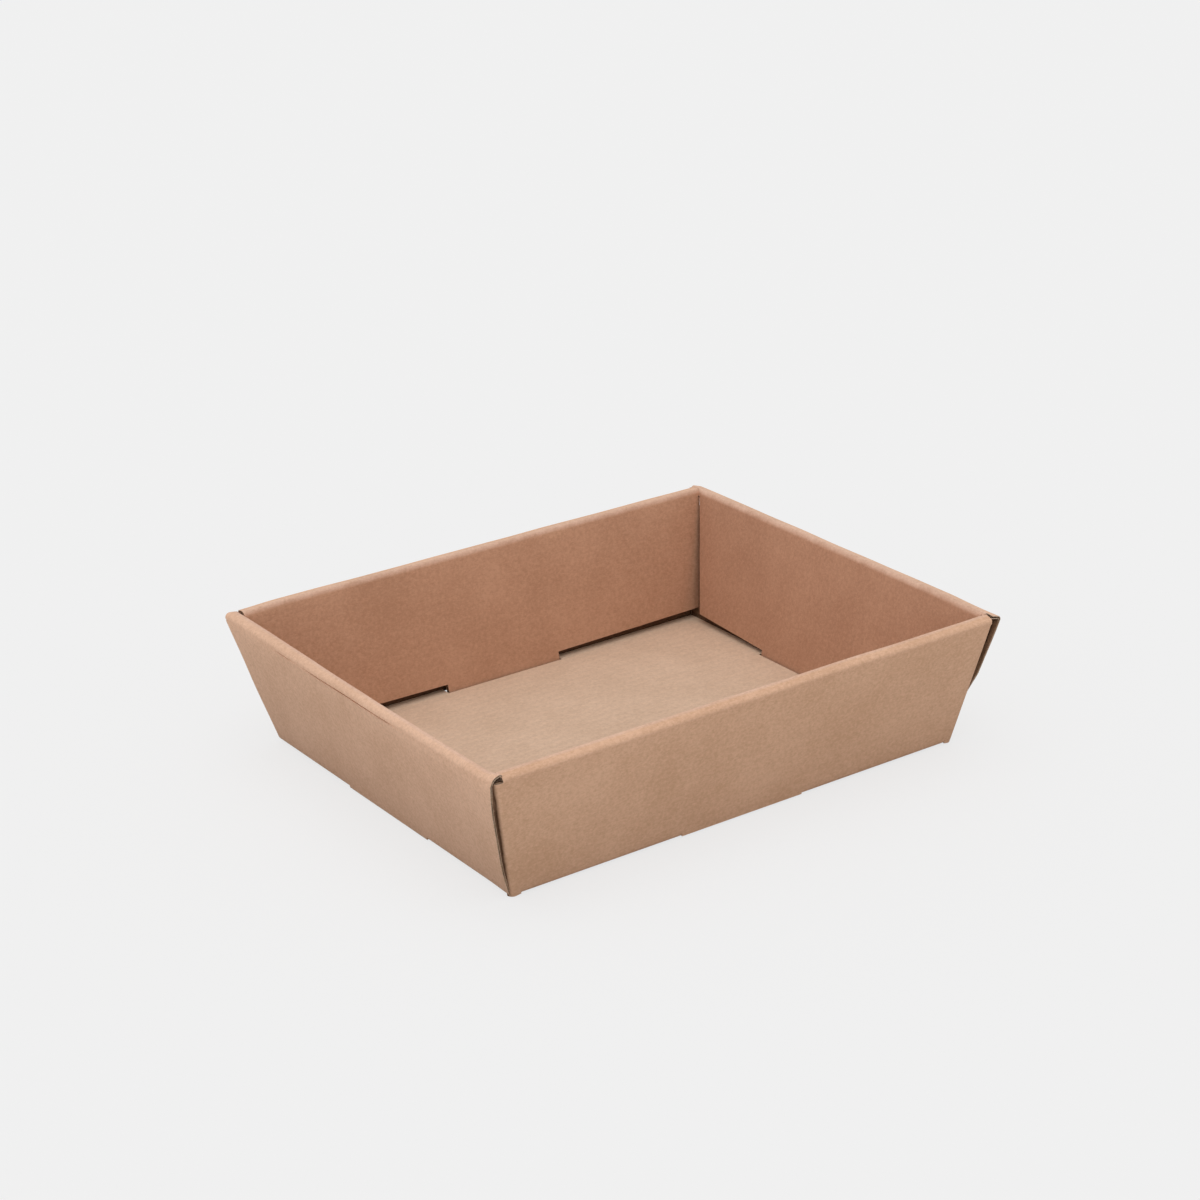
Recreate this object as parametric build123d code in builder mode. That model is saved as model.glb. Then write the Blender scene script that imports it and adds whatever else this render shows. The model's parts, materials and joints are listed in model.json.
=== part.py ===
from build123d import *
import os
from math import hypot

# An open tray box with leaning walls, folded from one sheet of corrugated board.
# Millimetres. The origin is the middle of the underside, X runs along the long walls and Z is up.

# The tray as a whole
base_length = 300.0  # over the end walls' outer faces, at their foot
base_width = 240.0  # over the long walls' outer faces, at their foot
tray_height = 80.0
end_flare = 22.5  # how far the top of an end wall leans out past its foot
side_flare = 17.5  # the same for a long wall

# The board and its folds
board = 3.0  # thickness of the sheet
fold_inside = 0.9  # inside radius where a wall folds up from the base
corner_inside = 0.9  # inside radius where a long wall folds round the corner
rim_bend = 2.0  # radius of the sheet's middle line where it rolls over the rim
rim_flat = 0.2  # least flat left between the rim's two creases

# How the layers lie on each other
layer_gap = 0.3  # clearance on each side of a tucked flap, and above it
side_rim_gap = 2.0  # hollow between the two layers of a long wall, under the rim
side_foot_gap = 4.5  # the same at the floor, where the tab holds the inner layer further in
cut_setback = 1.2  # an end wall's cut edge stops this far short of the long wall's face
corner_slit = 1.0  # slit at the ends of a long wall's inner layer and rim
inner_slit = 0.6  # slit between the two walls' inner layers, under the rim
inner_taper = 9.0  # an end wall's inner layer is cut back this much more at its foot

# The inner layers' lower edges, and the tabs that lock them into the base
ledge_lift = 4.0  # height of the cut-up edge above the floor
side_tab_length = 80.0
end_tab_length = 78.0
tab_play = 0.3  # clearance between a tab and the inner edge of its slot
slot_play = 1.0  # clearance at each end of a tab

# The flaps tucked inside the end walls
flap_length = 68.0
flap_lift = 1.5  # gap between a flap and the floor
flap_chamfer = 12.0  # cut off the free corners of a flap

# Walls, worked out from the sizes above
half_length = base_length / 2
half_width = base_width / 2
end_lean = end_flare / tray_height
side_lean = side_flare / tray_height
end_slope = hypot(1, end_lean)  # a leaning layer is this much thicker when it is measured level
side_slope = hypot(1, side_lean)
end_gap = board + 2 * layer_gap  # hollow inside an end wall, which a flap fills
end_depth = (2 * board + end_gap) * end_slope  # an end wall through all its layers, level
side_depth = (2 * board + side_foot_gap) * side_slope  # a long wall through all its layers, at its foot
side_inner_lean = side_lean + (side_foot_gap - side_rim_gap) * side_slope / tray_height
ledge_height = board + ledge_lift
fold_bend = fold_inside + board / 2
fold_reach = fold_inside + board  # a fold begins this far inside a wall's foot
slot_top = board + fold_bend  # the slots cut through the folds up to here

# Rims: a roll is round, or has a short flat where the layers stand further apart
end_rim_bend = min(rim_bend, (board + end_gap - rim_flat) / 2)
side_rim_bend = min(rim_bend, (board + side_rim_gap - rim_flat) / 2)
end_rim_low = tray_height - board / 2 - end_rim_bend  # the end walls' inner layers start here

# Corners: a long wall's outer layer folds round them, inside the end wall
corner_x = half_length - (board + layer_gap) * end_slope
corner_y = half_width
corner_outside = corner_inside + board
corner_run = corner_outside + corner_inside  # length of long wall that is drawn with a corner
corner_stub = corner_outside + board  # length of flap that is drawn with it
corner_top = end_rim_low - layer_gap
corner_rise = Vector(end_lean, side_lean, 1)  # the way that a corner's edge leans
flap_low = board + flap_lift


def folded_line(foot, lean, inner_foot, inner_lean):
    # Middle line of a wall: along the base, up, over the rim and down again to the ledge.
    low = board / 2
    high = tray_height - board / 2
    outer_foot = foot - board * hypot(1, lean) / 2
    return [
        (foot - fold_reach, low),
        (outer_foot + lean * low, low),
        (outer_foot + lean * high, high),
        (inner_foot + inner_lean * high, high),
        (inner_foot + inner_lean * ledge_height, ledge_height),
    ]


def leaning_layer(middle, lean, low, high, thickness=board, mode=Mode.ADD):
    # Section of one layer between two heights, with level ends.
    half = thickness * hypot(1, lean) / 2
    Polygon(
        (middle + lean * low - half, low),
        (middle + lean * low + half, low),
        (middle + lean * high + half, high),
        (middle + lean * high - half, high),
        align=None,
        mode=mode,
    )


def wall_outline(half_foot, lean, top):
    # A wall seen square on: wider at the top, where its neighbours lean away.
    half_top = half_foot + lean * top
    Polygon((-half_foot, 0), (half_foot, 0), (half_top, top), (-half_top, top), align=None)


# Middles of the layers where they meet the underside, and the lines that the walls follow
end_outer_foot = half_length - board * end_slope / 2
end_inner_foot = end_outer_foot - (board + end_gap) * end_slope
end_line = folded_line(half_length, end_lean, end_inner_foot, end_lean)
end_bends = [fold_bend, end_rim_bend, end_rim_bend]

side_outer_foot = half_width - board * side_slope / 2
side_inner_foot = side_outer_foot - (board + side_foot_gap) * side_slope
side_line = folded_line(half_width, side_lean, side_inner_foot, side_inner_lean)
side_bends = [fold_bend, side_rim_bend, side_rim_bend]

# End wall: the outer layer and the rim reach the corners
with BuildPart() as end_outer:
    with BuildSketch(Plane.XZ):
        with BuildLine():
            FilletPolyline(*end_line, radius=end_bends)
        trace(line_width=board)
        to_hollow = board + end_gap  # cuts the inner layer away, as far as the middle of the hollow
        leaning_layer(end_inner_foot, end_lean, board, end_rim_low, to_hollow, Mode.SUBTRACT)
    extrude(amount=base_width, both=True)
    with BuildSketch(Plane.YZ):
        wall_outline(half_width - cut_setback, side_lean, tray_height)
    extrude(amount=base_length, both=True, mode=Mode.INTERSECT)

# The inner layer stands between the long walls, and is cut back towards its foot to slip in
with BuildPart() as end_wall:
    with BuildSketch(Plane.XZ):
        with BuildLine():
            FilletPolyline(*end_line, radius=end_bends)
        trace(line_width=board)
    extrude(amount=base_width, both=True)
    with BuildSketch(Plane.YZ):
        cut_foot = half_width - side_depth - inner_slit - inner_taper
        wall_outline(cut_foot, side_inner_lean + inner_taper / tray_height, tray_height)
    extrude(amount=base_length, both=True, mode=Mode.INTERSECT)
    add(end_outer.part)

# Long wall: both layers run on under the end walls' rims, as far as the flaps
with BuildPart() as side_wall:
    with BuildSketch(Plane.YZ):
        with BuildLine():
            FilletPolyline(*side_line, radius=side_bends)
        trace(line_width=board)
    extrude(amount=base_length, both=True)
    with BuildSketch(Plane.XZ):
        wall_outline(half_length - end_depth - corner_slit, end_lean, tray_height)
        wall_outline(corner_x - board * end_slope - corner_slit, end_lean, corner_top)
    extrude(amount=base_width, both=True, mode=Mode.INTERSECT)


def flap_point(distance, height):
    # Point on the flap's outer face, so far from the corner and so high, in the plane of that face.
    return (corner_y + side_lean * height - distance, height * end_slope)


# Corner: a fold that leans both ways, and the flap that it carries inside the end wall
with BuildPart() as corner:
    with BuildSketch():
        with Locations((corner_x, corner_y)):
            Rectangle(corner_run, board * side_slope, align=(Align.MAX, Align.MAX))
            Rectangle(board * end_slope, corner_stub, align=(Align.MAX, Align.MAX))
        outer_corner = Vector(corner_x, corner_y)
        inner_corner = Vector(corner_x - board * end_slope, corner_y - board * side_slope)
        fillet(vertices().sort_by_distance(outer_corner)[0], corner_outside)
        fillet(vertices().sort_by_distance(inner_corner)[0], corner_inside)
    extrude(amount=corner_rise.length * corner_top, dir=corner_rise)
    flap_plane = Plane(origin=(corner_x, 0, 0), x_dir=(0, 1, 0), z_dir=(1, 0, -end_lean))
    with BuildSketch(flap_plane):
        Polygon(
            flap_point(corner_stub, flap_low),
            flap_point(corner_stub, corner_top),
            flap_point(flap_length - flap_chamfer, corner_top),
            flap_point(flap_length, corner_top - flap_chamfer),
            flap_point(flap_length, flap_low + flap_chamfer),
            flap_point(flap_length - flap_chamfer, flap_low),
            align=None,
        )
    extrude(amount=board * end_slope, dir=(-1, 0, 0))

# Foot of an end wall beside its slot: the tab, and the outer layer's square cut edge
with BuildPart() as end_foot:
    with BuildSketch(Plane.XZ):
        leaning_layer(end_inner_foot, end_lean, 0, ledge_height)
    extrude(amount=end_tab_length / 2, both=True)
    with BuildSketch(Plane.XZ):
        leaning_layer(end_outer_foot, end_lean, 0, slot_top)
    extrude(amount=end_tab_length / 2 + slot_play, both=True)

# Foot of a long wall
with BuildPart() as side_foot:
    with BuildSketch(Plane.YZ):
        leaning_layer(side_inner_foot, side_inner_lean, 0, ledge_height)
    extrude(amount=side_tab_length / 2, both=True)
    with BuildSketch(Plane.YZ):
        leaning_layer(side_outer_foot, side_lean, 0, slot_top)
    extrude(amount=side_tab_length / 2 + slot_play, both=True)

# Corners at both ends of a long wall
with BuildPart() as corner_pair:
    add(corner.part)
    mirror(corner.part, about=Plane.YZ)

# The whole tray is one sheet
with BuildPart() as tray:
    with BuildSketch():
        Rectangle(base_length - 2 * fold_reach, base_width - 2 * fold_reach)
    extrude(amount=board)
    add(end_wall.part)
    mirror(end_wall.part, about=Plane.YZ)
    add(side_wall.part)
    mirror(side_wall.part, about=Plane.XZ)

    # The slots reach from a tab's inner face to the outside of the fold
    end_slot = end_inner_foot - board * end_slope / 2 - tab_play
    end_slot_width = half_length + end_lean * slot_top - end_slot
    side_slot = side_inner_foot - board * hypot(1, side_inner_lean) / 2 - tab_play
    side_slot_width = half_width + side_lean * slot_top - side_slot
    with BuildSketch():
        with Locations((end_slot + end_slot_width / 2, 0), (-end_slot - end_slot_width / 2, 0)):
            Rectangle(end_slot_width, end_tab_length + 2 * slot_play)
        with Locations((0, side_slot + side_slot_width / 2), (0, -side_slot - side_slot_width / 2)):
            Rectangle(side_tab_length + 2 * slot_play, side_slot_width)
    extrude(amount=slot_top, mode=Mode.SUBTRACT)

    add(end_foot.part)
    mirror(end_foot.part, about=Plane.YZ)
    add(side_foot.part)
    mirror(side_foot.part, about=Plane.XZ)
    add(corner_pair.part)
    mirror(corner_pair.part, about=Plane.XZ)

tray.part.label = "tray"

os.makedirs("parts", exist_ok=True)
export_step(tray.part, "parts/tray.step")
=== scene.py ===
import bpy
import json
from math import atan, hypot, pi, radians, sin, tan
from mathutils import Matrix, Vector

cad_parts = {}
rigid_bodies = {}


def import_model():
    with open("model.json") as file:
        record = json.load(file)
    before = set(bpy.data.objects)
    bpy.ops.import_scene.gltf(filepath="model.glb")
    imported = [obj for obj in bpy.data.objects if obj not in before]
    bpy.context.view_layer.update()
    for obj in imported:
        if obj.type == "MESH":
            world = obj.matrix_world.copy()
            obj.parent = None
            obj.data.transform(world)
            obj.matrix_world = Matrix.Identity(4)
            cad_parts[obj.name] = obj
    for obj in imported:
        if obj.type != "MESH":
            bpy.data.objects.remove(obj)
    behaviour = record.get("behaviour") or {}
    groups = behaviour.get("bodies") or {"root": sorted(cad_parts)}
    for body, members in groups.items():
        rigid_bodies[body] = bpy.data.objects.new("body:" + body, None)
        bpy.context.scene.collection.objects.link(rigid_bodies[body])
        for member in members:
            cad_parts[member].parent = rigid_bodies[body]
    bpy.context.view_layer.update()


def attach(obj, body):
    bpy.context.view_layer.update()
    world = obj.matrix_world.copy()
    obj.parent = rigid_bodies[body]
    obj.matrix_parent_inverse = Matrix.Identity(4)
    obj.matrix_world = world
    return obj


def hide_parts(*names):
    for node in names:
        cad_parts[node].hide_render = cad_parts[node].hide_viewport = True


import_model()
mm = 0.001

# Sizes of the folded tray in millimetres, as the solid has them
tray = {
    "length": 300.0, "width": 240.0, "height": 80.0,
    "endFlare": 22.5, "sideFlare": 17.5,
    "board": 3.0, "foldRadius": 2.4, "foldInside": 0.9,
    "rimLow": 75.2,  # the corner folds stop here, under the end walls' rims
}
liner = {"thickness": 0.38}
flute = {
    "pitch": 6.35, "steps": 8, "thickness": 0.26, "clearance": 0.03,
    # for measuring over a long wall's folds
    "foldHigh": 3.5, "foldFrom": 112.0, "crest": 118.46, "outerDepth": 2.5, "innerLength": 1.031, "rimRun": 6.0,
}

same, close, flush = 0.01, 0.05, 0.1  # how near points lie to each other, to a line and to a layer
half = tray["board"] / 2
endLean = tray["endFlare"] / tray["height"]
sideLean = tray["sideFlare"] / tray["height"]
endSlope = hypot(1, endLean)
sideSlope = hypot(1, sideLean)


# Working with one piece at a time

def work(piece):
    if bpy.context.object and bpy.context.object.mode != "OBJECT":
        bpy.ops.object.mode_set(mode="OBJECT")
    bpy.ops.object.select_all(action="DESELECT")
    piece.select_set(True)
    bpy.context.view_layer.objects.active = piece


def pick(piece, kind, test):
    # selects points, edges, faces, or faces by their side too, by place in millimetres, in edit mode
    bpy.ops.object.mode_set(mode="OBJECT")
    mesh = piece.data
    bpy.context.tool_settings.mesh_select_mode = (kind == "point", kind == "edge", kind in ("face", "side"))
    for parts in (mesh.vertices, mesh.edges, mesh.polygons):
        parts.foreach_set("select", [False] * len(parts))
    if kind == "face":
        for face in mesh.polygons:
            face.select = bool(test(face.center / mm))
    elif kind == "side":
        for face in mesh.polygons:
            face.select = bool(test(face.center / mm, face.normal))
    elif kind == "edge":
        points = [point.co / mm for point in mesh.vertices]
        for edge in mesh.edges:
            edge.select = bool(test(points[edge.vertices[0]], points[edge.vertices[1]]))
    else:
        for point in mesh.vertices:
            point.select = bool(test(point.co / mm))
    bpy.ops.object.mode_set(mode="EDIT")


def removeFaces(piece, test, kind="face"):
    pick(piece, kind, test)
    bpy.ops.mesh.delete(type="FACE")


def score(piece, foot, normal, test=None, kind="face"):
    # cuts a sheet, or the faces that pass the test, along a plane and keeps both sides
    if test:
        pick(piece, kind, test)
    else:
        bpy.ops.mesh.select_all(action="SELECT")
    bpy.ops.mesh.bisect(plane_co=Vector(foot) * mm, plane_no=normal)


def scoreEnd(piece, side, line, test):
    # a cut across one end of a wall; the line is its distance at the foot, and its lean
    score(piece, (side * line[0], 0, 0), (side, 0, -line[1]), test)


def finishModifier(piece, kind, **values):
    work(piece)
    modifier = piece.modifiers.new(kind.title(), kind)
    for name, value in values.items():
        setattr(modifier, name, value)
    bpy.ops.object.modifier_apply(modifier=modifier.name)


def duplicate(piece, name):
    work(piece)
    bpy.ops.object.duplicate()
    copied = bpy.context.object
    copied.name = copied.data.name = name
    return copied


def turn(piece, degrees):
    work(piece)
    piece.rotation_euler = (0, 0, radians(degrees))
    bpy.ops.object.transform_apply(rotation=True)


def ease(piece, test, reach, shift):
    # pushes some points and, less and less, the sheet round them, in millimetres; the base stays put
    work(piece)
    pick(piece, "point", lambda c: c.z < half + 0.2)
    bpy.ops.mesh.hide(unselected=False)
    bpy.ops.object.mode_set(mode="OBJECT")
    for point in piece.data.vertices:
        point.select = not point.hide and bool(test(point.co / mm))
    bpy.ops.object.mode_set(mode="EDIT")
    bpy.ops.transform.translate(
        value=Vector(shift) * mm, use_proportional_edit=True, use_proportional_connected=True,
        proportional_edit_falloff="SMOOTH", proportional_size=reach * mm,
    )
    bpy.ops.mesh.reveal(select=False)
    bpy.ops.object.mode_set(mode="OBJECT")


def mark(piece, name, value):
    # writes a value on the picked points: how far the board is crushed, or how pale its paper is from wear and a
    # painted highlight
    bpy.ops.object.mode_set(mode="OBJECT")
    for point, stored in zip(piece.data.vertices, piece.data.attributes[name].data):
        if point.select:
            stored.value = value
    bpy.ops.object.mode_set(mode="EDIT")


def waver(piece, direction, strength, scale, low, rise):
    # lets a wall undulate a little above its foot
    work(piece)
    group = piece.vertex_groups.new(name="loose")
    for point in piece.data.vertices:
        weight = min(max((point.co.z / mm - low) / rise, 0), 1)
        group.add([point.index], weight, "REPLACE")
    clouds = bpy.data.textures.new(piece.name + "Clouds", "CLOUDS")
    clouds.noise_scale = scale * mm
    clouds.noise_depth = 1
    finishModifier(
        piece, "DISPLACE", texture=clouds, texture_coords="LOCAL", direction=direction,
        strength=strength * mm, mid_level=0.5, vertex_group="loose",
    )


# The board's middle surface, folded from a flat strip. Points are in millimetres, and a line that
# leans is written as its distance from the middle at the foot, and its lean.

# How crushed a wall's three folds are, and how pale from wear and a painted highlight, from the base to the inner
# layer
crease = {
    "crush": (0, 0.42, 0.45), "worn": (0, 0.15, 1), "segments": 6,
    "rows": 9, "rowBelow": 2.2, "rimFrom": 70.0, "band": 4.0,  # rows up a wall, and beside the rim's creases
}


def sideOf(c):
    return 1 if c.x > 0 else -1


def beyond(c, line):
    return abs(c.x) > line[0] + line[1] * c.z


def ledgeAt(c, size):
    # height of the inner layer's slanted lower edge
    return size["ledge"][0] + size["ledge"][1] * abs(c.x)


def foldTopOf(lean):
    # height where the fold at a wall's foot ends
    return half + tray["foldRadius"] * tan((pi / 2 - atan(lean)) / 2) / hypot(1, lean)


def scoreLedge(sheet, side, size):
    foot, slant = size["ledge"]
    score(sheet, (0, 0, foot), (-side * slant, 0, 1), lambda c: c.z < size["ledgeZone"] and side * c.x > 0)


def scoreTab(sheet, side, size):
    for cut in (size["tabHalf"], size["slotHalf"]):
        scoreEnd(sheet, side, (cut, 0), lambda c: c.z < size["tabZone"])


def foldedLine(foot, lean, innerFoot, rim):
    outerFoot = foot - half * hypot(1, lean)
    return [
        (foot - tray["board"] - tray["foldInside"], half),
        (outerFoot + lean * half, half),
        (outerFoot + lean * rim["outerTop"] - rim["outerIn"], rim["outerTop"]),
        (rim["innerAt"], rim["innerTop"]),
        (innerFoot, 0),
    ]


def makeGrid(name, steps, size, place):
    # a flat sheet; its points carry how far the board is crushed there, how pale its paper is from wear and a
    # painted highlight, and how dark from painted shade
    bpy.ops.object.select_all(action="DESELECT")
    bpy.ops.mesh.primitive_grid_add(
        x_subdivisions=steps[0], y_subdivisions=steps[1], size=mm, location=[value * mm for value in place]
    )
    sheet = bpy.context.object
    sheet.name = sheet.data.name = name
    sheet.scale = (*size, 1)
    bpy.ops.object.transform_apply(location=True, scale=True)
    for label in ("pinch", "wearHighlightShade"):
        sheet.data.attributes.new(label, "FLOAT", "POINT")
    return sheet


def foldedSheet(name, line, radii, runLength, runSteps):
    # a strip along X, run out to +Y, up, over the rim and down again
    (y0, z0), (y1, z1) = line[:2]
    sheet = makeGrid(name, (runSteps, 1), (runLength, y1 - y0), (0, (y0 + y1) / 2, z0))
    pick(sheet, "edge", lambda a, b: min(a.y, b.y) > y1 - same)
    for (ya, za), (yb, zb) in zip(line[1:], line[2:]):
        bpy.ops.mesh.extrude_region_move(TRANSFORM_OT_translate={"value": (0, (yb - ya) * mm, (zb - za) * mm)})
    # rows up the walls, so that they can bend
    pick(sheet, "edge", lambda a, b: abs(a.x - b.x) < same and abs(a.z - b.z) > tray["height"] / 2)
    bpy.ops.mesh.subdivide(number_cuts=crease["rows"])
    # and beside the rim's creases, so that their wear and painted highlight stay narrow
    pick(sheet, "edge", lambda a, b: (
        abs(a.x - b.x) < same and min(a.z, b.z) > crease["rimFrom"] and abs(a.z - b.z) < crease["band"]
    ))
    bpy.ops.mesh.subdivide(number_cuts=1)
    for y, z in line[2:4]:
        score(sheet, (0, 0, z - crease["rowBelow"]), (0, 0, 1), lambda c: abs(c.y - y) < crease["band"])
    # rounds the folds, each to its own radius, crushes the board at the rim's two creases, and marks each fold's
    # wear and painted highlight
    folds = zip(line, line[1:], line[2:], (tray["foldRadius"], *radii), crease["crush"], crease["worn"])
    for before, fold, after, radius, crush, worn in folds:
        first = Vector((fold[0] - before[0], fold[1] - before[1]))
        second = Vector((after[0] - fold[0], after[1] - fold[1]))
        reach = radius * tan(first.angle(second) / 2)
        at = Vector((0, fold[0], fold[1]))
        pick(sheet, "edge", lambda a, b: (a.yz - at.yz).length < same and (b.yz - at.yz).length < same)
        bpy.ops.mesh.bevel(offset=reach * mm, segments=crease["segments"], affect="EDGES", clamp_overlap=False)
        mark(sheet, "pinch", crush)
        mark(sheet, "wearHighlightShade", worn)
    return sheet


print("stage 1: sheets")

# Long walls, each folded at +Y
longWall = {
    "run": (360, 60), "innerFoot": 110.787, "innerZone": 113.5,  # below its ledge the inner layer lies inside this
    "tabHalf": 40.0, "slotHalf": 41.0, "tabZone": 12.0, "ledge": (6.7, 0.0128), "ledgeZone": 16.0,
    "footShort": 0.9, "columnGap": 3.4, "cornerRadius": 1.7, "cornerReturn": 2.0,
    "flapLength": 66.4, "flapLow": 4.5, "flapChamfer": 12.0, "flapStep": 6.0, "flapZone": 135.0,
    "paintedShadeFrom": 0.3, "paintedShadeOver": 0.7, "paintedShadeMost": 1.6,
}
backRim = {"outerTop": 78.3, "outerIn": 0.3, "innerAt": 130.6, "innerTop": 79.2, "radii": (0.7, 0.6)}
frontRim = {"outerTop": 76.1, "outerIn": 0.0, "innerAt": 130.9, "innerTop": 77.4, "radii": (0.45, 0.6)}
# where the corner fold, the rim, the inner layer and the foot end at each corner, how far the flap runs
# straight back from the fold, and the line that it lies along after that
farRight = {
    "corner": (147.6, 0.25), "rim": (140.3, endLean), "inner": (146.6, 0.211), "foot": (142.46, endLean),
    "back": 6.0, "flap": (147.6, 0.25),
}
farLeft = {
    "corner": (146.5, 0.27), "rim": (139.9, endLean), "inner": (142.46, endLean), "foot": (142.46, endLean),
    "back": 4.0, "flap": (145.01, endLean),
}
nearLeft = {
    "corner": (149.0, 0.23), "rim": (141.6, 0.2788), "inner": (142.46, 0.27), "foot": (143.6, endLean),
    "back": 3.4, "flap": (144.4, 0.278),
}
nearRight = {
    "corner": (150.4, 0.185), "rim": (150.4, 0.18), "inner": (144.0, 0.2), "foot": (145.4, endLean),
    "back": 3.4, "flap": (145.01, endLean),
}


def makeLongWall(name, rim, ends):
    size = longWall
    line = foldedLine(tray["width"] / 2, sideLean, size["innerFoot"], rim)
    sheet = foldedSheet(name, line, rim["radii"], *size["run"])
    foldTop = foldTopOf(sideLean)
    outerFoot = tray["width"] / 2 - half * sideSlope

    def behind(c):
        # how far a point is inside the outer layer
        return outerFoot + sideLean * c.z - c.y

    def isOuter(c):
        return abs(behind(c)) < 0.8 and c.z > foldTop - 0.2

    def at(c, label, inside=0):
        # a line at the nearer end of the wall, or so far inside it
        line = ends[sideOf(c)][label]
        return (line[0] - inside, line[1])

    score(sheet, (0, 0, tray["rimLow"]), (0, 0, 1))
    for side, corner in ends.items():
        scoreLedge(sheet, side, size)
        scoreEnd(sheet, side, corner["corner"], lambda c: c.z < tray["rimLow"] and c.y > outerFoot - 6)
        scoreEnd(sheet, side, corner["rim"], lambda c: c.z > tray["rimLow"])
        scoreEnd(sheet, side, corner["inner"], lambda c: c.z > foldTop and not isOuter(c))
        scoreEnd(sheet, side, corner["foot"], lambda c: c.z < foldTop + 8 and c.y > outerFoot - 6)
        scoreTab(sheet, side, size)

    removeFaces(sheet, lambda c: (
        beyond(c, at(c, "corner" if c.z <= tray["rimLow"] else "rim"))
        or (
            foldTop + 0.2 < c.z < rim["innerTop"] - crease["rowBelow"]
            and behind(c) > 2 and beyond(c, at(c, "inner"))
        )
        or (
            c.z < foldTop - same and c.y > outerFoot - 4
            and (beyond(c, at(c, "foot")) or abs(c.x) < size["slotHalf"])
        )
        or (c.z < ledgeAt(c, size) and c.y < size["innerZone"] and abs(c.x) > size["tabHalf"])
    ))
    # the outer layer's square foot at the slot and in the corners
    pick(sheet, "edge", lambda a, b: (
        max(abs(a.z - foldTop), abs(b.z - foldTop)) < close and isOuter(a) and isOuter(b)
        and (abs(a.x + b.x) / 2 < size["slotHalf"] or beyond((a + b) / 2, at(a, "foot")))
    ))
    bpy.ops.mesh.extrude_region_move(TRANSFORM_OT_translate={"value": (0, -sideLean * foldTop * mm, -foldTop * mm)})
    for side in (-1, 1):  # the extruded foot follows the corner's lean
        reach = ends[side]["foot"][0] + endLean * foldTop - close
        pick(sheet, "point", lambda c: c.z < same and c.y > outerFoot - 1 and side * c.x > reach)
        bpy.ops.transform.translate(value=(-side * ends[side]["corner"][1] * foldTop * mm, 0, 0))
    # it is worn short at the slot and where the fold begins
    pick(sheet, "point", lambda c: c.z < same and c.y > outerFoot - 1 and (
        abs(c.x) < size["slotHalf"] + flush or 0 < abs(c.x) - at(c, "foot")[0] + 1 < 2
    ))
    bpy.ops.transform.translate(value=(0, sideLean * size["footShort"] * mm, size["footShort"] * mm))

    def fromCorner(c):
        fold = at(c, "corner")
        return abs(abs(c.x) - fold[0] - fold[1] * c.z)

    # the strip's own columns end before the corner, so that the fold there stays clean
    pick(sheet, "edge", lambda a, b: (
        (abs(a.x - b.x) < same or (max(a.z, b.z) < foldTop + close and abs(a.x - b.x) < 1 < abs(a.z - b.z)))
        and not all(fromCorner(c) < close for c in (a, b))
        and max(a.z, b.z) < tray["rimLow"] + flush and max(abs(behind(a)), abs(behind(b))) < flush
        and any(beyond(c, at(c, "corner", size["columnGap"])) for c in (a, b))
    ))
    bpy.ops.mesh.dissolve_edges(use_verts=True)

    # the corner folds and the flaps that they carry inside the end walls
    def onCorner(c):
        return fromCorner(c) < 2 * same and behind(c) < flush and c.z < tray["rimLow"] + close

    def flapX(c):
        return sideOf(c) * (at(c, "flap")[0] + at(c, "flap")[1] * c.z)

    def runFlap(length, across=True):
        # extrudes each flap by its own length, and across to its own line
        bpy.ops.mesh.extrude_region_move(TRANSFORM_OT_translate={"value": (0, -mm, 0)})
        bpy.ops.object.mode_set(mode="OBJECT")
        for point in sheet.data.vertices:
            if point.select:
                point.co.y -= (length(point.co) - 1) * mm
                if across:
                    point.co.x = flapX(point.co / mm) * mm
        bpy.ops.object.mode_set(mode="EDIT")

    # a flap runs straight back, steps across into the end wall's hollow, and runs on there
    pick(sheet, "edge", lambda a, b: onCorner(a) and onCorner(b))
    runFlap(lambda c: ends[sideOf(c)]["back"], False)
    runFlap(lambda c: size["flapStep"])
    runFlap(lambda c: size["flapLength"] - ends[sideOf(c)]["back"] - size["flapStep"])
    pick(sheet, "edge", lambda a, b: onCorner(a) and onCorner(b))
    bpy.ops.mesh.bevel(offset=size["cornerRadius"] * mm, segments=6, affect="EDGES", clamp_overlap=False)
    # the fold's far side and the flap lie in the dark and get a painted shade, stored as a mark of less than zero
    bpy.ops.object.mode_set(mode="OBJECT")
    for point, stored in zip(sheet.data.vertices, sheet.data.attributes["wearHighlightShade"].data):
        c = point.co / mm
        if behind(c) > flush and c.z < tray["rimLow"] + flush and (
            beyond(c, at(c, "corner", 1)) or beyond(c, at(c, "flap", 0.5))
        ):
            stored.value = -min(size["paintedShadeMost"], max(0, (behind(c) - size["paintedShadeFrom"]) / size["paintedShadeOver"]))
    bpy.ops.object.mode_set(mode="EDIT")
    # the flap's raised foot and its cut-off corners
    freeEdge = outerFoot - size["flapLength"]
    top = tray["rimLow"] - size["flapChamfer"]

    def onFlap(c, n):
        return abs(n.x) > 0.5 and behind(c) > size["cornerReturn"] and abs(c.x) > size["flapZone"]

    for foot, normal in (
        ((0, 0, size["flapLow"]), (0, 0, 1)), ((0, freeEdge, size["flapLow"] + size["flapChamfer"]), (0, 1, 1)),
        ((0, freeEdge + sideLean * top, top), (0, 1, -1)),
    ):
        score(sheet, foot, normal, onFlap, "side")
    removeFaces(sheet, lambda c, n: onFlap(c, n) and (
        c.z < size["flapLow"]
        or (c.y - freeEdge) + (c.z - size["flapLow"] - size["flapChamfer"]) < 0
        or (c.y - freeEdge - sideLean * top) - (c.z - top) < 0
    ), "side")
    bpy.ops.object.mode_set(mode="OBJECT")
    return sheet


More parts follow.
